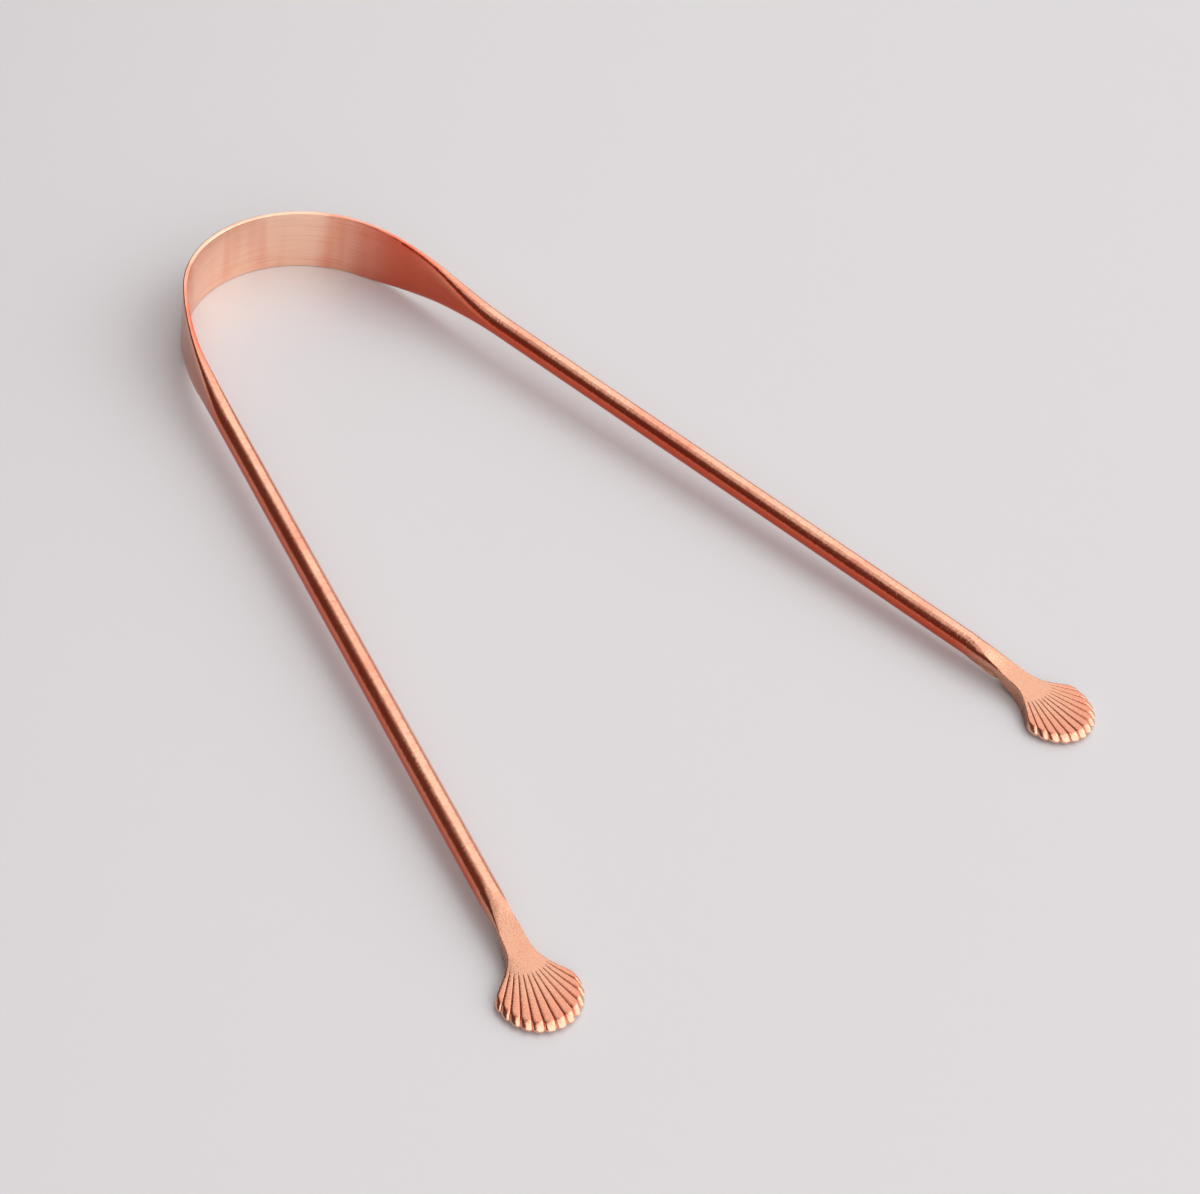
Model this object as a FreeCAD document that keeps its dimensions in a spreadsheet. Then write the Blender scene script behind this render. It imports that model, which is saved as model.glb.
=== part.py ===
"""A copper tongue scraper: a thin sprung bow, two round arms and two scallop shell grips.

Millimetres. X runs across the arms, Y from the shells to the bow, Z up from the table. The origin lies
on the table, half way along the scraper and half way between its arms.
"""
import FreeCAD, Part
import math
import os

import Sketcher
from FreeCAD import Placement, Rotation, Vector

DRIVING_SIZES = {
    # the whole scraper
    "overall_length": 144.0,
    # the band that is bent into the bow
    "band_height": 10.3,
    "band_thickness": 0.8,
    "band_corner": 0.25,
    "crown_radius": 18.9,
    "crown_half_angle": 58.0,
    "flank_radius": 46.0,
    "bow_clearance": 0.12,
    # the arms
    "flare_angle": 11.7,
    "taper_length": 28.0,
    "rod_diameter": 3.3,
    "rod_end_height": 2.75,
    # the flattened neck between rod and shell, with heights above the table
    "neck_length": 10.0,
    "neck_width": 3.8,
    "neck_top": 3.05,
    "neck_bottom": 0.5,
    "neck_corner": 0.6,
    # the shell, measured from its hub at the neck's end
    "shell_reach": 12.2,
    "side_reach": 7.76,
    "fan_half_angle": 45.0,
    "hub_reach": 0.5,
    "apron_reach": 4.2,
    "apron_fade": 0.6,
    "rim_height": 1.15,
    "lobe_count": 12,
    "flute_depth": 0.42,
    "nose_length": 0.6,
    "nose_drop": 0.6,
    "notch_depth": 0.35,
}
TAPER_STATIONS = 10
NECK_STATIONS = 6
NECK_OVERRUN = 2
FLUTE_SPANS = 4
SIDE_ARC = 12.0
BAND_EASE = "min( band_corner ; 0.4 * band_thickness )"

doc = FreeCAD.newDocument("tongue_scraper")
sheet = doc.addObject("Spreadsheet::Sheet", "Sizes")
for row, (alias, value) in enumerate(DRIVING_SIZES.items(), start=1):
    sheet.set(f"A{row}", alias)
    sheet.set(f"B{row}", str(value))
    sheet.setAlias(f"B{row}", alias)
doc.recompute()


def size(expression):
    """The value of one driving size, or of an expression of them."""
    return float(sheet.evalExpression(expression))


def heading(angle):
    """Plan direction at an angle in degrees from +Y towards +X."""
    return Vector(math.sin(math.radians(angle)), math.cos(math.radians(angle)), 0)


def smooth(share):
    """Eases a share of 0 to 1 in and out."""
    return share * share * (3 - 2 * share)


def section_frame(point, along):
    """A section plane at a point, square to a direction, with its own Y as upright as it can be."""
    across = Vector(0, 0, 1).cross(along).normalize()
    upright = along.cross(across).normalize()
    return Placement(point, Rotation(across, upright, along, "ZXY"))


# The centre line of the right half, seen from above
crown_centre = Vector(0, size("overall_length / 2 - crown_radius - band_thickness / 2"), 0)
mid_height = Vector(0, 0, size("band_height / 2"))
flank_start = size("crown_half_angle")
flank_end = 90 - size("flare_angle")
flank_centre = crown_centre + heading(flank_start) * size("crown_radius - flank_radius")
shoulder = flank_centre + heading(flank_end) * size("flank_radius") + mid_height
flank_length = math.radians(flank_end - flank_start) * size("flank_radius")
arm_heading = heading(180 - size("flare_angle"))

lobe_count = int(size("lobe_count"))


def lobe_angle(step):
    """Angle from the shell's middle line after a number of lobes, counted from one side."""
    return size("fan_half_angle") * (2 * step / lobe_count - 1)


def rim_reach(angle):
    """Distance from the shell's hub to its rim, at an angle from the shell's middle line."""
    share = (angle / size("fan_half_angle")) ** 2
    return size("shell_reach") * (1 - share) + size("side_reach") * share


# The lobe that reaches furthest touches the end of the overall length; the rod ends a neck short of the hub
rim_drop = max(rim_reach(angle) * math.cos(math.radians(angle - size("flare_angle")))
               for angle in (lobe_angle(lobe + 0.5) for lobe in range(lobe_count)))
hub_travel = (shoulder.y + size("overall_length / 2") - rim_drop) / -arm_heading.y
rod_end = Vector(shoulder.x, shoulder.y, 0) + arm_heading * (hub_travel - size("neck_length"))
rod_end.z = size("rod_end_height")
rod_direction = (rod_end - shoulder).normalize()


def centre_line(travel):
    """Point and direction on the right arm's centre line, a distance past the end of the crown."""
    if travel < flank_length:
        angle = flank_start + math.degrees(travel / size("flank_radius"))
        return flank_centre + heading(angle) * size("flank_radius") + mid_height, heading(angle + 90)
    return shoulder + rod_direction * (travel - flank_length), rod_direction


def on_side(vector, side):
    """The vector for one side: 1 is the right arm and -1 the left, its mirror image."""
    return Vector(vector.x * side, vector.y, vector.z)


def new_sketch(body, name, frame):
    """A sketch of the body, lying in the given frame."""
    sketch = body.newObject("Sketcher::SketchObject", name)
    base_plane = next(plane for plane in body.Origin.OriginFeatures if plane.Role == "XY_Plane")
    sketch.AttachmentSupport = [(base_plane, "")]
    sketch.MapMode = "FlatFace"
    sketch.AttachmentOffset = frame
    return sketch


def bind(sketch, constraint, name, expression):
    """Adds a driving dimension to a sketch and ties it to the sheet."""
    index = sketch.addConstraint(constraint)
    sketch.renameConstraint(index, name)
    sketch.setExpression(f"Constraints.{name}", expression)


def outline(sketch, points):
    """Closes a row of points with straight sides."""
    for start, end in zip(points, points[1:] + points[:1]):
        sketch.addGeometry(Part.LineSegment(start, end), False)


def tied(expression):
    """The expression with each size's name pointing at the sheet."""
    words = expression.split()
    return " ".join(f"Sizes.{word}" if word in DRIVING_SIZES else word for word in words)


def soft_section(body, name, frame, width, height, corner):
    """A rounded rectangle about the frame's origin, tied to the sheet."""
    sketch = new_sketch(body, name, frame)
    half_width = size(width) / 2
    half_height = size(height) / 2
    radius = size(corner)
    for quarter in range(4):
        turn = Rotation(Vector(0, 0, 1), 90 * quarter)
        reach, rise = (half_width, half_height) if quarter % 2 == 0 else (half_height, half_width)
        low = turn.multVec(Vector(reach, radius - rise, 0))
        high = turn.multVec(Vector(reach, rise - radius, 0))
        sketch.addGeometry(Part.LineSegment(low, high), False)
        circle = Part.Circle(turn.multVec(Vector(reach - radius, rise - radius, 0)), Vector(0, 0, 1), radius)
        first = math.radians(90 * quarter)
        sketch.addGeometry(Part.ArcOfCircle(circle, first, first + math.pi / 2), False)
    for edge in range(8):
        sketch.addConstraint(Sketcher.Constraint("Tangent", edge, 2, (edge + 1) % 8, 1))
    for corner_arc in (3, 5, 7):
        sketch.addConstraint(Sketcher.Constraint("Equal", 1, corner_arc))
    for upright, level in ((0, 2), (4, 6)):
        sketch.addConstraint(Sketcher.Constraint("Vertical", upright))
        sketch.addConstraint(Sketcher.Constraint("Horizontal", level))
    sketch.addConstraint(Sketcher.Constraint("Symmetric", 1, 3, 5, 3, -1, 1))
    bind(sketch, Sketcher.Constraint("Radius", 1, radius), "corner", tied(corner))
    bind(sketch, Sketcher.Constraint("DistanceX", 4, 1, 0, 2, 2 * half_width), "width", tied(width))
    bind(sketch, Sketcher.Constraint("DistanceY", 6, 1, 2, 2, 2 * half_height), "height", tied(height))
    return sketch


def loft_through(body, name, sections):
    """A solid through a row of close sections."""
    loft = body.newObject("PartDesign::AdditiveLoft", name)
    loft.Profile = sections[0]
    loft.Sections = sections[1:]
    loft.Ruled = True
    return loft


def round_section(body, name, frame, diameter):
    """A circle in eight arcs, which match the sides and corners of a rounded section."""
    sketch = new_sketch(body, name, frame)
    circle = Part.Circle(Vector(0, 0, 0), Vector(0, 0, 1), size(diameter) / 2)
    for quarter in range(4):
        side_start = math.radians(90 * quarter - SIDE_ARC / 2)
        corner_start = math.radians(90 * quarter + SIDE_ARC / 2)
        corner_end = math.radians(90 * quarter + 90 - SIDE_ARC / 2)
        sketch.addGeometry(Part.ArcOfCircle(circle, side_start, corner_start), False)
        sketch.addGeometry(Part.ArcOfCircle(circle, corner_start, corner_end), False)
    for edge in range(8):
        sketch.addConstraint(Sketcher.Constraint("Coincident", edge, 3, -1, 1))
    for edge in range(7):
        sketch.addConstraint(Sketcher.Constraint("Coincident", edge, 2, edge + 1, 1))
    sketch.addConstraint(Sketcher.Constraint("Horizontal", 7, 2, 0, 1))
    bind(sketch, Sketcher.Constraint("Diameter", 0, size(diameter)), "diameter", tied(diameter))
    return sketch


def scraping_bow():
    """The crown of the band: its section turned about the bow's centre, short of each arm by a clearance."""
    body = doc.addObject("PartDesign::Body", "scraping_bow")
    section = new_sketch(body, "band_section", Placement(Vector(), Rotation(Vector(1, 1, 1), 120)))
    inner = size("crown_radius - band_thickness / 2")
    outer = size("crown_radius + band_thickness / 2")
    top = size("band_height")
    outline(section, [Vector(inner, 0, 0), Vector(outer, 0, 0), Vector(outer, top, 0), Vector(inner, top, 0)])
    for edge in range(4):
        section.addConstraint(Sketcher.Constraint("Coincident", edge, 2, (edge + 1) % 4, 1))
    for level, upright in ((0, 1), (2, 3)):
        section.addConstraint(Sketcher.Constraint("Horizontal", level))
        section.addConstraint(Sketcher.Constraint("Vertical", upright))
    section.addConstraint(Sketcher.Constraint("PointOnObject", 0, 1, -1))
    bind(section, Sketcher.Constraint("DistanceX", -1, 1, 0, 1, inner), "inner",
         "Sizes.crown_radius - Sizes.band_thickness / 2")
    bind(section, Sketcher.Constraint("DistanceX", 0, 1, 0, 2, outer - inner), "thickness", "Sizes.band_thickness")
    bind(section, Sketcher.Constraint("DistanceY", 1, 1, 1, 2, top), "height", "Sizes.band_height")
    crown = body.newObject("PartDesign::Revolution", "crown")
    crown.Profile = section
    crown.ReferenceAxis = (section, ["V_Axis"])
    crown.Midplane = True
    crown.setExpression("Angle", "2 * (Sizes.crown_half_angle - Sizes.bow_clearance / 2 "
                                 "/ Sizes.crown_radius * 180 / pi)")
    doc.recompute()
    long_edges = [f"Edge{index}" for index, edge in enumerate(crown.Shape.Edges, start=1)
                  if isinstance(edge.Curve, Part.Circle)]
    eased = body.newObject("PartDesign::Chamfer", "eased_edges")
    eased.Base = (crown, long_edges)
    eased.setExpression("Size", tied(BAND_EASE))
    body.Placement = Placement(crown_centre, Rotation())
    return body


def arm(name, side):
    """Flank, taper and rod of one arm: the band narrows in height first and thickens late."""
    body = doc.addObject("PartDesign::Body", name)
    start = size("bow_clearance / 2")
    sections = []
    for station in range(TAPER_STATIONS):
        share = station / (TAPER_STATIONS - 1)
        point, along = centre_line(start + (size("taper_length") - start) * share)
        frame = section_frame(on_side(point, side), on_side(along, side))
        label = f"taper_{station}"
        if share == 1:
            sections.append(round_section(body, label, frame, "rod_diameter"))
            break
        narrowed = smooth(share)
        thickened = narrowed * narrowed
        height = f"band_height + ( rod_diameter - band_height ) * {narrowed:.4f}"
        width = f"band_thickness + ( rod_diameter - band_thickness ) * {thickened:.4f}"
        corner = f"( {width} ) * ( {BAND_EASE} / band_thickness * {1 - narrowed:.4f} + {narrowed / 2:.4f} )"
        sections.append(soft_section(body, label, frame, width, height, corner))
    loft_through(body, "taper", sections)
    rod = body.newObject("PartDesign::Pad", "rod")
    rod.Profile = round_section(body, "rod_section", frame, "rod_diameter")
    rod.Length = (rod_end - shoulder).Length - (size("taper_length") - flank_length)
    return body


def around_hub(reach, angle, height):
    """A point of the shell, at a plan reach from the hub and an angle from the middle line."""
    across = math.radians(angle)
    return Vector(size("neck_length") + reach * math.cos(across), reach * math.sin(across), height)


def ridge_height(reach):
    """Height of the lobes' ridges, which fall evenly from the neck's top to the rim."""
    return size("neck_top") + (size("rim_height") - size("neck_top")) * reach / size("shell_reach")


def ring(reach_at, height_at):
    """A row of arcs, one over each lobe, given by reach and height as functions of angle and valley.

    Valley is 1 in a groove and 0 on a ridge.
    """
    def place(step, valley):
        angle = lobe_angle(step)
        reach = reach_at(angle, valley)
        return around_hub(reach, angle, height_at(reach, valley))

    return [Part.Arc(place(step, 1), place(step + 0.5, 0), place(step + 1, 1)).toShape()
            for step in range(lobe_count)]


def fluted(reach, valley):
    """Height of the fluted top: the ridges, less a groove that deepens towards the rim."""
    return ridge_height(reach) - valley * size("flute_depth") * reach / size("shell_reach")


def held(expression):
    """A reach that is the same at every angle."""
    return lambda angle, valley: size(expression)


def along_flutes(share):
    """The reach at a share of the way along the flutes, from the apron to where the rim rounds over."""
    start = size("apron_reach")
    return lambda angle, valley: start + (rim_reach(angle) - size("nose_length") - start) * share


def at_rim(angle, valley):
    """The scalloped rim, notched between the lobes."""
    return rim_reach(angle) - valley * size("notch_depth")


def smooth_top(reach, valley):
    """Height of the apron."""
    return ridge_height(reach)


def rim_edge(reach, valley):
    """Height at which the rounded rim meets its wall."""
    return ridge_height(reach) - size("nose_drop")


def on_table(reach, valley):
    """Height of the underside."""
    return 0.0


def fan():
    """The scallop shell: ruled flutes between scalloped rings, a smooth apron and a rounded rim."""
    rings = [ring(held("hub_reach"), smooth_top), ring(held("apron_reach - apron_fade"), smooth_top)]
    rings += [ring(along_flutes(span / FLUTE_SPANS), fluted) for span in range(FLUTE_SPANS + 1)]
    rings.append(ring(at_rim, rim_edge))
    foot = ring(at_rim, on_table)
    inner_foot = ring(held("hub_reach"), on_table)
    faces = []
    for near, far in zip([inner_foot] + rings, rings + [foot]):
        faces += [Part.makeRuledSurface(*arcs) for arcs in zip(near, far)]
    closing = []
    for lobe, end in ((0, 0), (lobe_count - 1, 1)):
        corners = [arcs[lobe].Vertexes[end].Point for arcs in [inner_foot] + rings + [foot]]
        faces.append(Part.Face(Part.makePolygon(corners + corners[:1])))
        closing.append(Part.makeLine(corners[-1], corners[0]))
    faces.append(Part.Face(Part.Wire(Part.__sortEdges__(foot + inner_foot + closing))))
    shell = Part.makeShell(faces)
    shell.sewShape()
    return Part.makeSolid(shell)


def neck(body):
    """The rod's end flattens and widens up to the hub, and runs on to end inside the fan."""
    tilt = Vector(math.sqrt(1 - rod_direction.z ** 2), 0, rod_direction.z)
    seat = Vector(0, 0, size("rod_end_height"))
    sections = [round_section(body, "rod_seat", section_frame(seat, tilt), "rod_diameter")]
    for station in range(1, NECK_STATIONS + NECK_OVERRUN + 1):
        share = station / NECK_STATIONS
        fallen = share ** 1.5
        squared = min(share, 1)
        top = f"( rod_end_height + rod_diameter / 2 ) * {1 - fallen:.4f} + neck_top * {fallen:.4f}"
        bottom = f"( rod_end_height - rod_diameter / 2 ) * {1 - share:.4f} + neck_bottom * {share:.4f}"
        width = f"rod_diameter + ( neck_width - rod_diameter ) * {share ** 3:.4f}"
        corner = f"rod_diameter / 2 * {1 - squared:.4f} + neck_corner * {squared:.4f}"
        middle = Vector(size("neck_length") * share, 0, (size(top) + size(bottom)) / 2)
        frame = section_frame(middle, Vector(1, 0, 0))
        height = f"{top} - ( {bottom} )"
        sections.append(soft_section(body, f"neck_{station}", frame, width, height, corner))
    loft_through(body, "neck", sections)


def shell_grip(name, side):
    """Neck and scallop shell, drawn from the rod's end along +X and then turned into line with the arm."""
    form = doc.addObject("Part::Feature", f"{name}_fan")
    form.Shape = fan()
    body = doc.addObject("PartDesign::Body", name)
    body.BaseFeature = form
    neck(body)
    turn = math.degrees(math.atan2(arm_heading.y, arm_heading.x * side))
    foot = Vector(rod_end.x * side, rod_end.y, 0)
    body.Placement = Placement(foot, Rotation(Vector(0, 0, 1), turn))
    return body


sub_parts = [scraping_bow()]
for side_name, side in (("left", -1), ("right", 1)):
    sub_parts.append(arm(f"{side_name}_arm", side))
    sub_parts.append(shell_grip(f"{side_name}_shell_grip", side))
doc.recompute()

for item in doc.Objects:
    if "Invalid" in item.State or "Error" in item.State:
        raise RuntimeError(f"{item.Label} failed: {item.getStatusString()}")
for sub_part in sub_parts:
    if sub_part.Shape.isNull() or not sub_part.Shape.isValid() or len(sub_part.Shape.Solids) != 1:
        raise RuntimeError(f"{sub_part.Label} is not one valid solid")

os.makedirs("parts", exist_ok=True)
for sub_part in sub_parts:
    sub_part.Shape.exportStep(f"parts/{sub_part.Label}.step")
    print(sub_part.Label, round(sub_part.Shape.Volume, 2), "mm3")
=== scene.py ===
# %% [markdown]
# # A copper tongue scraper
# This lesson dresses the packed model of a tongue scraper. The real one is forged from a single copper rod:
# the middle is rolled into a thin tall band and bent into a bow, the ends stay round as arms, and each tip is
# struck flat into a scallop shell. Everything here is in metres and in the frame of the solids, so nothing has
# to be fitted by eye. We load the solids first.

# %% Load the solids
import math

import bpy
from mathutils import Matrix, Vector


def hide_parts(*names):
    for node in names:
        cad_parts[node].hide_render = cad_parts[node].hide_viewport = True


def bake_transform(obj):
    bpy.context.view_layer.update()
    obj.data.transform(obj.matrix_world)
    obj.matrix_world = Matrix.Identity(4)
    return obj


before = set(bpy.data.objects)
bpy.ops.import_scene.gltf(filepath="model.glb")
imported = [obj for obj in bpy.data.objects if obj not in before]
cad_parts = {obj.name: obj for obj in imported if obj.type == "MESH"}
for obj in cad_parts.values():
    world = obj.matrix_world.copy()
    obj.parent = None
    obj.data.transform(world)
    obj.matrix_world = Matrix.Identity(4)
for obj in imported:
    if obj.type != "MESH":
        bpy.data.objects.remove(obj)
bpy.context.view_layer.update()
scene = bpy.context.scene
MM = 0.001


def in_mm(corners):
    """Corners of a box in millimetres, for printing."""
    return [[round(v / MM, 2) for v in corner] for corner in corners]


print("solids:", sorted(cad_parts))

# %% [markdown]
# ## The camera
# The photograph looks down on the scraper from beyond the left shell. A camera is found from a photograph by
# hand or by measuring: here the edges of the arms and the rims of the shells were matched, which gives the
# turn, the height, the slight roll and the lens below. It comes first, so that every later step can be compared.

# %% Place the camera
turn, height, roll = (math.radians(angle) for angle in (-45.101, 44.075, 10.093))
target = Vector((0.004643, -0.014515, 0.0))
distance = 0.40105
sensor_mm, focal_mm, nearest = 36, 84.70, 0.01

level_back = math.cos(height)
back = Vector((math.sin(turn) * level_back, -math.cos(turn) * level_back, math.sin(height)))
level = Vector((math.cos(turn), math.sin(turn), 0))
upright = back.cross(level)
across = level * math.cos(roll) + upright * math.sin(roll)
upwards = upright * math.cos(roll) - level * math.sin(roll)
eye = target + back * distance

lens = bpy.data.cameras.new("camera")
lens.sensor_width = sensor_mm
lens.lens = focal_mm
lens.clip_start = nearest
camera = bpy.data.objects.new("camera", lens)
camera.matrix_world = Matrix((across, upwards, back)).transposed().to_4x4()
camera.location = eye
scene.collection.objects.link(camera)
scene.camera = camera
scene.view_settings.view_transform = "Standard"
print("camera stands at", [round(v, 4) for v in eye])

# %% [markdown]
# ## Writing node maths as sums
# Both the forging and the copper below are formulas, and a formula made of loose nodes is hard to read. This
# small class stands for one socket. Adding or multiplying two of them adds a Math node, so a line of Python
# reads as the formula does. Any other node comes from one function, which takes its type, settings and sockets.

# %% A wire that takes sums
class Wire:
    """One value in a node tree, with the usual operators."""

    def __init__(self, tree, socket):
        self.tree = tree
        self.socket = socket

    def math(self, operation, *others):
        node = self.tree.nodes.new("ShaderNodeMath")
        node.operation = operation
        for place, value in enumerate((self, *others)):
            join(self.tree, node.inputs[place], value)
        return Wire(self.tree, node.outputs[0])

    def __add__(self, other):
        return self.math("ADD", other)

    def __sub__(self, other):
        return self.math("SUBTRACT", other)

    def __rsub__(self, other):
        return (self * -1).math("ADD", other)

    def __mul__(self, other):
        return self.math("MULTIPLY", other)

    def __truediv__(self, other):
        return self.math("DIVIDE", other)

    def __pow__(self, other):
        return self.math("POWER", other)

    __radd__ = __add__
    __rmul__ = __mul__

    def least(self, other):
        return self.math("MINIMUM", other)

    def most(self, other):
        return self.math("MAXIMUM", other)

    def within(self, low, high):
        return self.most(low).least(high)

    def share(self, low, high):
        """How far the value has come from low to high, from 0 to 1."""
        return ((self - low) / (high - low)).within(0.0, 1.0)

    def eased(self, low, high):
        """As share, with a soft start and end."""
        part = self.share(low, high)
        return part * part * (3.0 - 2.0 * part)

    def towards(self, other, part):
        """The value moved a part of the way to another one."""
        return self + (other - self) * part


print("words a wire knows:", [word for word in vars(Wire) if not word.startswith("_")])


# %% Nodes and vectors
def join(tree, socket, value):
    """Links a wire to a socket, or sets the socket to a plain value."""
    if isinstance(value, Wire):
        tree.links.new(value.socket, socket)
    else:
        socket.default_value = value


def add(tree, kind, settings=None, output=None, **inputs):
    """Adds a node: its type, its settings and the values or links of its sockets, with _ for a space."""
    node = tree.nodes.new(kind)
    for name, value in (settings or {}).items():
        setattr(node, name, value)
    for name, value in inputs.items():
        words = name.replace("_", " ")
        join(tree, next(s for s in node.inputs if s.name == words and s.enabled), value)
    return Wire(tree, next(s for s in node.outputs if s.enabled and output in (None, s.name)))


def vector(x, y, z):
    """Three wires as one vector."""
    return add(x.tree, "ShaderNodeCombineXYZ", X=x, Y=y, Z=z)


def split(wire):
    """The three parts of a vector."""
    first = add(wire.tree, "ShaderNodeSeparateXYZ", Vector=wire)
    return [Wire(wire.tree, output) for output in first.socket.node.outputs]


print("helpers for nodes:", [helper.__name__ for helper in (join, add, vector, split)])

# %% [markdown]
# ## The bar before it is forged
# The smith starts with a straight bar, and so do we: a plain square bar that is 2 units wide and high, with its
# length along X in millimetres. A primitive cube could be subdivided, but its cuts would be even. Here they lie
# close together where the metal will be bent or struck, and far apart along the straight arm. Across the top
# there are eight cuts for each lobe of the shell, so that every groove falls on an edge. Both ends are closed.

# %% Where the bar is cut
LOBES = 12
CROWN_END = 19.132
TAPER_END = 47.132
ROD_END = 135.355
HUB = ROD_END + 10.0
RIM = HUB + 12.0
NOSES = RIM - 1.0
STRETCHES = (  # start, end and number of cuts
    (0, CROWN_END, 44),
    (CROWN_END, TAPER_END, 72),
    (TAPER_END, ROD_END, 30),
    (ROD_END, HUB, 36),
    (HUB, NOSES, 50),
    (NOSES, RIM, 14),
)
LOBE_CUTS = (0, 0.05, 0.13, 0.29, 0.5, 0.71, 0.87, 0.95)
SIDE_CUTS = 12


def steps(start, end, count):
    """Even steps from start, leaving out the end."""
    return [start + (end - start) * i / count for i in range(count)]


cuts_along = [cut for stretch in STRETCHES for cut in steps(*stretch)] + [RIM]
cuts_across = [(lobe + cut) / LOBES * 2 - 1 for lobe in range(LOBES) for cut in LOBE_CUTS] + [1]
cuts_up = steps(-1, 1, SIDE_CUTS) + [1]
print("cuts along, across and up:", len(cuts_along), len(cuts_across), len(cuts_up))

# %% Make the square bar
def square_bar(name):
    """The skin of a grid of cuts, as one closed mesh."""
    grid = (cuts_along, cuts_across, cuts_up)
    last = [len(cuts) - 1 for cuts in grid]
    points = {}
    places = []

    def point(*cut):
        if cut not in points:
            points[cut] = len(places)
            places.append([cuts[i] for cuts, i in zip(grid, cut)])
        return points[cut]

    faces = []
    for axis in range(3):
        one, two = (axis + 1) % 3, (axis + 2) % 3
        for end in (0, last[axis]):
            for i in range(last[one]):
                for j in range(last[two]):
                    corners = []
                    for di, dj in ((0, 0), (1, 0), (1, 1), (0, 1)):
                        cut = [0, 0, 0]
                        cut[axis], cut[one], cut[two] = end, i + di, j + dj
                        corners.append(point(*cut))
                    faces.append(corners if end else corners[::-1])
    mesh = bpy.data.meshes.new(name)
    mesh.from_pydata(places, [], faces)
    mesh.polygons.foreach_set("use_smooth", [True] * len(faces))
    bar = bpy.data.objects.new(name, mesh)
    scene.collection.objects.link(bar)
    return bar


bars = {side: square_bar(f"scraper_{side}_half") for side in ("left", "right")}
print("faces in one bar:", len(bars["left"].data.polygons))

# %% [markdown]
# ## Forging by rule
# One Geometry Nodes tree bends and strikes the bar. It reads how far along the bar a point lies, and where on
# the square section, and works out its new place. A sweep along a curve could make the arms, but not the shell,
# and two pieces would show a seam that the real metal doesn't have. A rule does both in one mesh. First come
# the sizes, as inputs of the tree with names, in millimetres and degrees.

# %% Sizes of the scraper
SIZES = {
    "Side": 1.0,
    "Crown centre": 52.7,
    "Crown radius": 18.9,
    "Crown half angle": 58.0,
    "Flank radius": 46.0,
    "Flank angle": 20.3,
    "Band height": 10.3,
    "Band thickness": 0.8,
    "Band corner": 0.25,
    "Rod diameter": 3.3,
    "Rod end height": 2.75,
    "Rod run": 99.896,
    "Neck width": 2.8,
    "Neck top": 2.55,
    "Neck dip": 0.0215,
    "Neck corner": 0.15,
    "Flare": 1.5,
    "Fan half angle": 45.0,
    "Shell reach": 12.1,
    "Side reach": 8.0,
    "Rim height": 1.35,
    "Rim lift": 0.45,
    "Shell crown": 0.26,
    "Flute depth": 0.28,
    "Apron reach": 4.2,
    "Notch depth": 0.3,
    "Nose length": 1.0,
    "Nose drop": 0.62,
}

forge = bpy.data.node_groups.new("forge the scraper", "GeometryNodeTree")
forge.interface.new_socket("Geometry", in_out="INPUT", socket_type="NodeSocketGeometry")
forge.interface.new_socket("Geometry", in_out="OUTPUT", socket_type="NodeSocketGeometry")
socket_ids = {}
for label, value in SIZES.items():
    socket = forge.interface.new_socket(label, in_out="INPUT", socket_type="NodeSocketFloat")
    socket.default_value = value
    socket_ids[label] = socket.identifier
entry = forge.nodes.new("NodeGroupInput")
size = {label: Wire(forge, entry.outputs[label]) for label in SIZES}
print("sizes that drive the forging:", len(SIZES))

# %% [markdown]
# ## Band, taper and rod
# The centre line is an arc for the crown, a flatter arc for the flank, and then a straight run that slopes down
# a little to the table. The section is a rounded rectangle, which is a circle when its corner is half its width:
# a point outside the core of the section is drawn in until it lies on the rounded corner. Along the taper the
# band loses height first and gains thickness late, as it does when a round rod is rolled flat.

# %% Follow the centre line
travel, square_x, square_z = split(add(forge, "GeometryNodeInputPosition"))
degree = math.pi / 180

crown_turn = (travel / size["Crown radius"]).least(size["Crown half angle"] * degree)
flank_turn = ((travel - CROWN_END) / size["Flank radius"]).within(0.0, size["Flank angle"] * degree)
facing = crown_turn + flank_turn
flank_start = size["Crown half angle"] * degree
flank_now = flank_start + flank_turn
arm_facing = flank_start + size["Flank angle"] * degree
shoulder = CROWN_END + size["Flank radius"] * size["Flank angle"] * degree
run = (travel.least(ROD_END) - shoulder).most(0.0) * (size["Rod run"] / (ROD_END - shoulder))


def sine(value):
    return value.math("SINE")


def cosine(value):
    return value.math("COSINE")


line_x = (size["Crown radius"] * sine(crown_turn)
          + size["Flank radius"] * (sine(flank_now) - sine(flank_start)) + run * cosine(arm_facing))
line_y = (size["Crown centre"] + size["Crown radius"] * cosine(crown_turn)
          + size["Flank radius"] * (cosine(flank_now) - cosine(flank_start)) - run * sine(arm_facing))
line_z = (size["Band height"] / 2.0).towards(size["Rod end height"], run / size["Rod run"])
print("nodes for the centre line:", len(forge.nodes))

# %% Shape the section
STRIKE_RUN = 4.0
NECK_FROM, NECK_TO = 0.1, 0.7
FAN_WIDENING = 3.6
CIRCLE = 0.5
TINY = 1e-6

beyond = (travel - ROD_END).most(0.0)
fan = travel.share(HUB, RIM)
narrowed = travel.eased(CROWN_END, TAPER_END)
thickened = narrowed * narrowed
flattened = travel.share(ROD_END, HUB)
struck = travel.eased(HUB - STRIKE_RUN, HUB)

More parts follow.
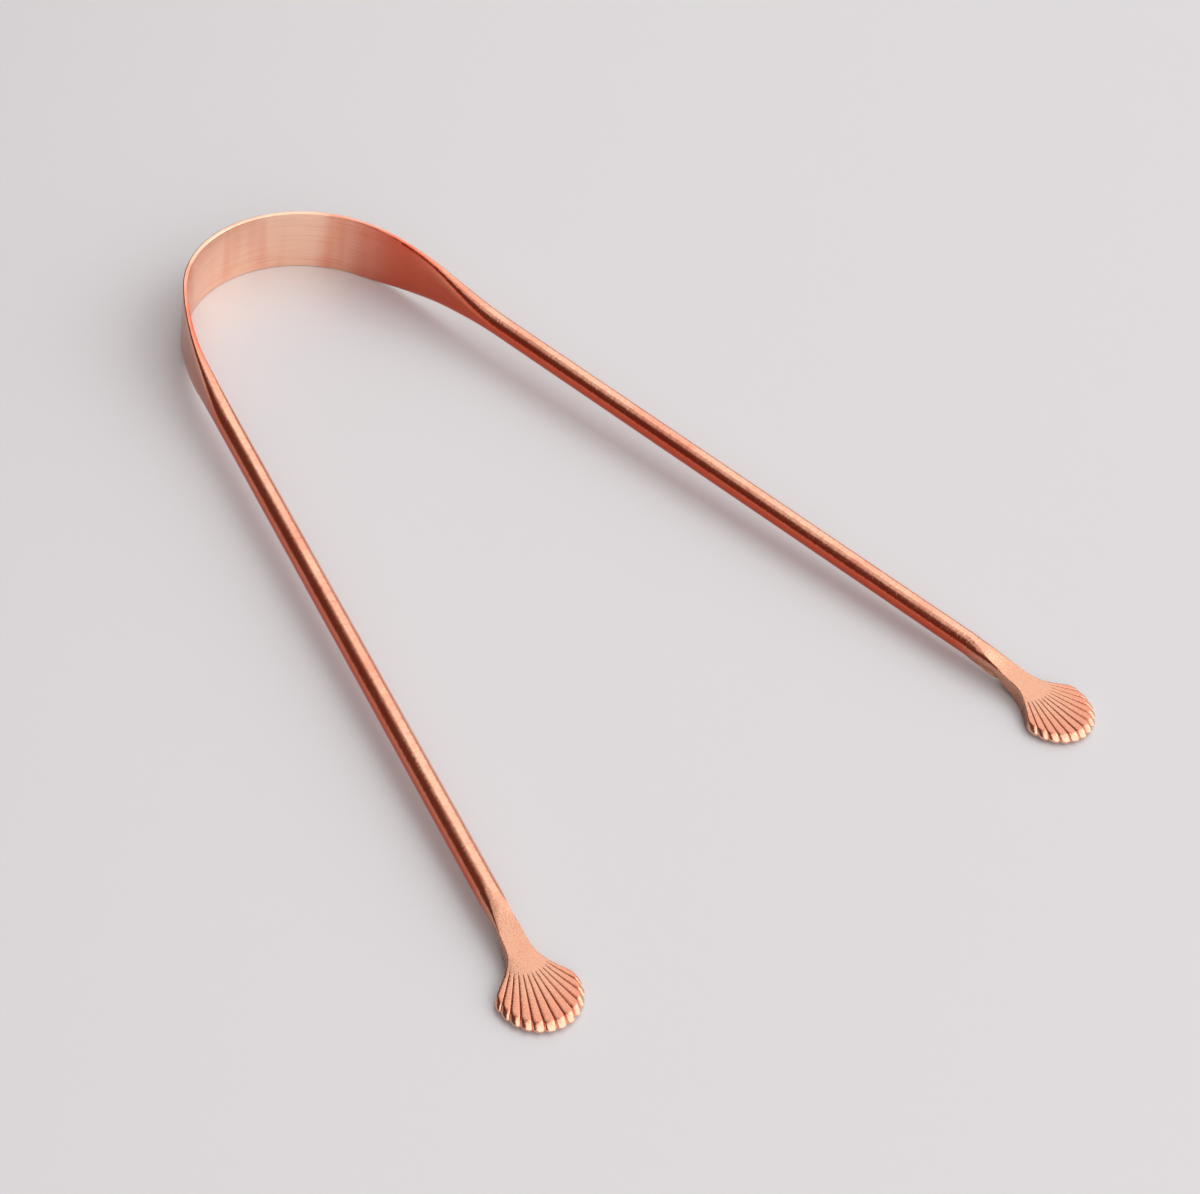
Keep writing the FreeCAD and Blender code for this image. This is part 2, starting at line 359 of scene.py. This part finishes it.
rod_radius = size["Rod diameter"] / 2.0
section_high = (size["Band height"] / 2.0).towards(rod_radius, narrowed)
section_wide = (size["Band thickness"] / 2.0).towards(rod_radius, thickened)
neck_wide = section_wide.towards(size["Neck width"] / 2.0, flattened.eased(NECK_FROM, NECK_TO))
rounding = (size["Band corner"] / size["Band thickness"]).towards(CIRCLE, narrowed)
corner = (section_wide * 2.0 * rounding).towards(size["Neck corner"], struck)
half_wide = neck_wide + fan * FAN_WIDENING
half_high = section_high.towards(size["Neck top"] / 2.0, struck)

core_x = (square_x * half_wide).within(corner - half_wide, half_wide - corner)
core_z = (square_z * half_high).within(corner - half_high, half_high - corner)
out_x = square_x * half_wide - core_x
out_z = square_z * half_high - core_z
flat_length = out_x.math("ABSOLUTE").most(out_z.math("ABSOLUTE"))
slant_length = (out_x * out_x + out_z * out_z).math("SQRT").most(TINY)
side_share = (core_x + out_x * flat_length / slant_length) / half_wide
rise_share = (core_z + out_z * flat_length / slant_length) / half_high
print("nodes with the section:", len(forge.nodes))

# %% [markdown]
# ## The scallop shell
# The shell is where the fingers hold. Beyond the hub the lines along the bar spread like the ribs of a fan: each
# starts beside its neighbours in the neck and bends smoothly on to its own ray. The angle of the ray counts off
# the lobes. Each lobe is gently arched, dips into a thin groove beside its neighbour, and ends in a round scallop
# of the rim. Near the hub the apron stays smooth, because the maker's die has no flutes there. The shell as a
# whole is a little domed, and at the rim its top rounds over into the noses. Sculpting could do all this by hand,
# but a rule makes every lobe alike, as a die does.

# %% Spread the fan
LOBE_ARCH, ARCH_POWER = 0.32, 2.0
GROOVE_SHARE, GROOVE_POWER = 0.68, 14.0
SCALLOP_POWER = 2.2
FLARE_RUN = 6.0
NEARLY_STRAIGHT = 1e-4

ray = side_share * size["Fan half angle"] * degree
lobe = (side_share + 1.0) * (LOBES / 2)
between = ((lobe - lobe.math("FLOOR")) * 2.0 - 1.0).math("ABSOLUTE")
groove = LOBE_ARCH * between ** ARCH_POWER + GROOVE_SHARE * between ** GROOVE_POWER
round_reach = size["Shell reach"].towards(size["Side reach"], side_share * side_share)
rim_reach = round_reach - between ** SCALLOP_POWER * size["Notch depth"]
plan_along = beyond.least(HUB - ROD_END) + fan * rim_reach * cosine(ray)

ahead = plan_along - (HUB - ROD_END)
on_the_middle = side_share.math("ABSOLUTE").math("LESS_THAN", NEARLY_STRAIGHT)
safe_share = side_share + on_the_middle * (NEARLY_STRAIGHT * 2)
spread = ahead * ray.math("TANGENT") / safe_share
ease = size["Flare"] * beyond.eased(0.0, FLARE_RUN)
bulge = neck_wide - spread
plan_across = side_share * (neck_wide + spread + (bulge * bulge + ease * ease).math("SQRT")) / 2.0
print("nodes with the fan:", len(forge.nodes))

# %% Strike the flutes and noses
HUB_RUN = 3.0
FLUTES_BEFORE, FLUTES_AFTER = 0.6, 0.4
NOSE_POWER = 1.6
DOME_RUN = 0.6

radial = (ahead * ahead + plan_across * plan_across).math("SQRT")
reach = ahead.towards(radial, ahead.eased(0.0, HUB_RUN))
uphill = reach.least(0.0)
plane = (size["Neck top"] + reach * ((size["Rim height"] - size["Neck top"]) / size["Shell reach"])
         + size["Neck dip"] * uphill * uphill)
to_rim = (1.0 - fan) * rim_reach
nose = 1.0 - (to_rim / size["Nose length"]).least(1.0)
fluted = reach.eased(size["Apron reach"] - FLUTES_BEFORE, size["Apron reach"] + FLUTES_AFTER)
flute_depth = size["Flute depth"] * (reach / size["Shell reach"]) * groove * fluted
depth = flute_depth + size["Nose drop"] * nose ** NOSE_POWER
domed = size["Shell crown"] * side_share * side_share * fan.eased(0.0, DOME_RUN)
crest = (size["Rod end height"] + rod_radius).towards(plane, struck) - depth - domed
print("nodes with the flutes:", len(forge.nodes))

# %% Flatten the underside and cut the neck
LIFT_RUN, LIFT_POWER = 1.5, 2.0
NECK_UNDERSIDE = 0.5
SETTLING_RUN = 0.2
EDGE_ROUNDING, EDGE_RUN = 0.8, 8.0
CUT_RUN = 3.0

lifted = size["Rim lift"] * (1.0 - (to_rim / LIFT_RUN).least(1.0)) ** LIFT_POWER
neck_underside = (size["Rod end height"] - rod_radius).towards(NECK_UNDERSIDE, flattened)
underside = neck_underside * (1.0 - fan.eased(0.0, SETTLING_RUN)) + lifted
shell_z = underside + (crest - underside) * (rise_share + 1.0) / 2.0
edge = EDGE_ROUNDING * (1.0 - travel.share(HUB - EDGE_RUN, HUB)) ** 2.0
over = shell_z - plane
cut_z = (shell_z + plane - (over * over + edge * edge).math("SQRT")) / 2.0
bar_z = line_z + rise_share * section_high
final_z = bar_z.towards(cut_z, travel.eased(ROD_END, ROD_END + CUT_RUN))
print("nodes with the neck:", len(forge.nodes))

# %% Put every point in its place
GROOVE_SHADE_POWER = 12.0

final_x = line_x + plan_along * cosine(arm_facing) + plan_across * sine(facing)
final_y = line_y - plan_along * sine(arm_facing) + plan_across * cosine(facing)
place = vector(final_x * size["Side"] * MM, final_y * MM, final_z * MM)
straight = vector(travel, plan_across, rise_share * section_high)
# Masks for the painted shade and highlights: the grooves, the noses and the height on the section.
painted_light_masks = vector(between ** GROOVE_SHADE_POWER * fluted, nose, rise_share)

copper = bpy.data.materials.new("brushed copper")
copper.use_nodes = True

per_point = {"data_type": "FLOAT_VECTOR", "domain": "POINT"}
kept = add(forge, "GeometryNodeStoreNamedAttribute", per_point,
           Geometry=Wire(forge, entry.outputs["Geometry"]), Name="on_the_bar", Value=straight)
noted = add(forge, "GeometryNodeStoreNamedAttribute", per_point, Geometry=kept, Name="wear", Value=painted_light_masks)
moved = add(forge, "GeometryNodeSetPosition", Geometry=noted, Position=place)
turned = add(forge, "GeometryNodeFlipFaces", Mesh=moved, Selection=size["Side"].math("LESS_THAN", 0.0))
whole = add(forge, "GeometryNodeRealizeInstances", Geometry=turned)
dressed = add(forge, "GeometryNodeSetMaterial", Geometry=whole, Material=copper)
leave = forge.nodes.new("NodeGroupOutput")
forge.links.new(dressed.socket, leave.inputs[0])
print("nodes in the whole forging:", len(forge.nodes))

# %% Forge both halves
SHARP_ANGLE = math.radians(38)

halves = {}
for side, bar in bars.items():
    press = bar.modifiers.new("forge", "NODES")
    press.node_group = forge
    press[socket_ids["Side"]] = 1.0 if side == "right" else -1.0
    bpy.context.view_layer.update()
    forged = bpy.data.meshes.new_from_object(bar.evaluated_get(bpy.context.evaluated_depsgraph_get()))
    bar.modifiers.remove(press)
    bar.data = forged
    forged.set_sharp_from_angle(angle=SHARP_ANGLE)
    halves[side] = bar
    lows = [min(v.co[i] for v in forged.vertices) for i in range(3)]
    highs = [max(v.co[i] for v in forged.vertices) for i in range(3)]
    print(side, "half in mm:", in_mm((lows, highs)))

# %% [markdown]
# ## The halves and the solids
# The real bow is a leaf spring, so squeezing the shells bends the band and nothing turns on a pin. In the packed
# model a hinge on each side stands in for that bending. A half that simply rode on one body would tear at the
# crown.
# Here each half keeps its forged shape: its place is baked into its mesh, and the solids of the bow, its arm and
# its shell grip are hidden. The two halves meet at the middle of the crown.

# %% Bake the halves and hide the solids
FLANK_OUT, FLANK_ALONG, FLANK_UP = 0.022, 0.0477, 0.005

for side, half in halves.items():
    out = 1 if side == "right" else -1
    FLANK_OUT * out
    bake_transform(half)
    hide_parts("scraping_bow", f"{side}_arm", f"{side}_shell_grip")
    print(half.name, "bends between the bow and the", side, "arm")

# %% [markdown]
# ## Brushed copper
# Bare copper is a metal with a warm red mirror colour. Belts and wheels leave their marks on it: long lines along
# the band, short ones across the rods, and the fine sand of the die on the shells. An image could show them, but
# it would stretch where the band turns into a rod. The forging has already noted for each point how far along the
# bar it lies, so we draw the marks on the straight bar and they follow the metal round every bend.

# %% Where on the copper
COPPER_BASICS = {"Metallic": 1, "Coat Weight": 0.15, "Coat Roughness": 0.2}
BAND_FADES = (26.0, 44.0)
SHELL_GROWS = (ROD_END - 1.0, ROD_END + 6.0)

paint = copper.node_tree
metal = paint.nodes["Principled BSDF"]
for label, value in COPPER_BASICS.items():
    metal.inputs[label].default_value = value

along, aside, aloft = split(add(paint, "ShaderNodeAttribute", {"attribute_name": "on_the_bar"}, "Vector"))
# The masks for the painted shade and highlights.
in_groove, on_nose, rise = split(add(paint, "ShaderNodeAttribute", {"attribute_name": "wear"}, "Vector"))
spot = add(paint, "ShaderNodeTexCoord", output="Object")
on_band = 1.0 - along.eased(*BAND_FADES)
on_shell = along.eased(*SHELL_GROWS)
print("band lines fade over", BAND_FADES, "mm and sand grows over", SHELL_GROWS, "mm of the bar")

# %% Brush marks and sand
ROD_GRAIN, BAND_GRAIN, SAND_GRAIN = 0.42, 0.5, 0.18


def noise(where, scale, detail):
    return add(paint, "ShaderNodeTexNoise", output="Fac", Vector=where, Scale=scale, Detail=detail)


def on_bar(each_along, each_aside, each_aloft, detail):
    """Marks drawn on the straight bar, as so many in each millimetre of its three directions."""
    return noise(vector(along * each_along, aside * each_aside, aloft * each_aloft), 1.0, detail)


band_lines = on_bar(each_along=0.1, each_aside=1.0, each_aloft=6.0, detail=5.0)
rod_lines = on_bar(each_along=4.5, each_aside=1.1, each_aloft=1.1, detail=5.0)
waves = on_bar(each_along=0.16, each_aside=0.05, each_aloft=0.02, detail=2.0)
sand = noise(spot, scale=4200.0, detail=4.0)
patches = noise(spot, scale=110.0, detail=3.0)
marks = rod_lines.towards(band_lines, on_band).towards(sand, on_shell)
brushing = (rod_lines * ROD_GRAIN).towards(band_lines * BAND_GRAIN, on_band)
grain = brushing.towards(sand * SAND_GRAIN, on_shell)
print("noises in the copper:", sum(node.type == "TEX_NOISE" for node in paint.nodes))

# %% [markdown]
# ## Colours of the copper
# Handled copper isn't one colour. The crown of the band is polished pale by use. Painted shade makes the flanks,
# the undersides of the rods and the rim of the shell deep red and darkens the grooves; painted highlights pale the
# noses and rod tops.
# One image would fix this for one size only. Each of these is a mask that mixes one more tone over the last, so it
# can be turned up or down by the number at its end.

# %% Band and rods
PALE = (1.0, 0.64, 0.47, 1)
WARM = (0.86, 0.37, 0.225, 1)
RED = (0.68, 0.105, 0.048, 1)


def tint(below, above, share):
    return add(paint, "ShaderNodeMix", {"data_type": "RGBA"}, Factor=share, A=below, B=above)


# Painted shade and highlight: the undersides of the rods are painted deep red and their tops pale, as light from
# above would fall.
upper_side = rise.share(0.2, 0.7)
painted_top_highlight = rise.share(0.6, 1.0) * 0.5
rod_shade_and_highlight = tint(tint(RED, WARM, upper_side), PALE, painted_top_highlight)

polished = waves.share(0.3, 0.52)
# Painted shade: the flanks are painted deep red, their inner faces most of all.
inner_face = 1.0 - aside.share(-0.2, 0.3)
painted_flank_shade = along.eased(10.0, 27.0) * (0.4 + inner_face * 0.5)
band_tone = tint(tint(WARM, PALE, polished), RED, painted_flank_shade)
tone = tint(rod_shade_and_highlight, band_tone, on_band)
print("tones of band and rods:", sum(node.type == "MIX" for node in paint.nodes))

# %% More tones, painted shade and painted highlights over them
SATIN = (0.65, 0.385, 0.255, 1)
DARK = (0.3, 0.07, 0.04, 1)

tarnish = patches.share(0.45, 0.7) * (1.0 - on_band) * 0.4
die_struck = on_shell * 0.85
# Painted shade: the shell turns redder towards its rim, where its top slopes down.
painted_rim_shade = along.eased(HUB + 4.0, NOSES) * 0.28
scratches = marks.share(0.48, 0.72) * (0.38 - on_band * 0.16)
# Painted shade: the grooves of the flutes are painted dark, less so on the noses.
painted_groove_shade = in_groove * (0.6 - on_nose * 0.4)
# Painted highlight: the noses of the lobes are painted pale.
painted_nose_highlight = on_nose.share(0.1, 0.8) * 0.6
for above, mask in ((RED, tarnish), (SATIN, die_struck), (RED, painted_rim_shade),
                    (RED, scratches), (DARK, painted_groove_shade), (PALE, painted_nose_highlight)):
    tone = tint(tone, above, mask)
join(paint, metal.inputs["Base Color"], tone)
print("tones mixed over each other:", sum(node.type == "MIX" for node in paint.nodes))

# %% Roughness and bump
POLISH, BRUSHED, PATCHY, SANDED = 0.19, 0.25, 0.1, 0.07
NOISE_MIDDLE = 0.5
RELIEF_DEPTH = 0.00014

rough = (POLISH + (marks - NOISE_MIDDLE) * BRUSHED + (patches - NOISE_MIDDLE) * PATCHY
         + on_shell * SANDED)
join(paint, metal.inputs["Roughness"], rough)
relief = add(paint, "ShaderNodeBump", Strength=1.0, Distance=RELIEF_DEPTH, Height=grain)
join(paint, metal.inputs["Normal"], relief)
print("nodes in the copper:", len(paint.nodes))

# %% [markdown]
# ## Floor and light
# Copper shows what stands around it, so its bright bands are pictures of the lamps. A large softbox on the right
# gives the light tops of the arms and shells. A second one in front is mirrored in the pale floor, and the inside
# of the bow shows that mirror image. A small dim one above widens the light on the arms. The rest of the room is
# dim and warm, for the dark sides of the rods. A plain sky would be simpler, but it would light every side alike
# and the metal would look like paint. The floor gets its sheen from a small share of metal, because a clear gloss
# would flare to white when it is seen from low down. The lamps are large and far away, so the floor is lit evenly.

# %% Lay the floor
FLOOR_SIZE, FLOOR_GAP = 30, 0.00003
FLOOR_LOOKS = {
    "Base Color": (0.63, 0.65, 0.665, 1),
    "Roughness": 0.36,
    "Metallic": 0.18,
    "Specular IOR Level": 0.0,
}

bpy.ops.mesh.primitive_plane_add(size=FLOOR_SIZE, location=(0, 0, -FLOOR_GAP))
floor = bpy.context.object
floor.name = "floor"
pale_floor = bpy.data.materials.new("pale floor")
pale_floor.use_nodes = True
for label, value in FLOOR_LOOKS.items():
    pale_floor.node_tree.nodes["Principled BSDF"].inputs[label].default_value = value
floor.data.materials.append(pale_floor)
print("floor lies at", round(floor.location.z / MM, 2), "mm")


# %% Set the lamps
def softbox(name, turn, height, away, wide, tall, bright):
    """A rectangular lamp that faces the scraper, from a turn about Z (0 is +X) and a height in degrees."""
    turn, height = math.radians(turn), math.radians(height)
    level_out = math.cos(height) * away
    where = Vector((math.cos(turn) * level_out, math.sin(turn) * level_out, math.sin(height) * away))
    light = bpy.data.lights.new(name, "AREA")
    light.shape = "RECTANGLE"
    light.size = wide
    light.size_y = tall
    light.energy = bright * wide * tall * math.pi
    lamp = bpy.data.objects.new(name, light)
    lamp.location = where
    lamp.rotation_euler = (-where).to_track_quat("-Z", "Y").to_euler()
    scene.collection.objects.link(lamp)
    print(name, "gives", round(light.energy, 2), "W")


softbox("right softbox", turn=12, height=42, away=4.0, wide=7.2, tall=5.2, bright=1.2)
softbox("front softbox", turn=-82, height=42, away=3.6, wide=10.0, tall=5.6, bright=1.62)
softbox("top softbox", turn=112, height=74, away=4.0, wide=3.0, tall=2.2, bright=0.72)

# %% Dim the room
ROOM_COLOUR, ROOM_STRENGTH = (1.0, 0.36, 0.26, 1), 0.13

room = bpy.data.worlds.new("room")
room.use_nodes = True
glow = room.node_tree.nodes["Background"]
glow.inputs["Color"].default_value = ROOM_COLOUR
glow.inputs["Strength"].default_value = ROOM_STRENGTH
scene.world = room
print("the room glows at", ROOM_STRENGTH)

# %% [markdown]
# ## The finished scene
# Both halves are forged and dressed in copper, on a pale floor under three softboxes in a dim room.
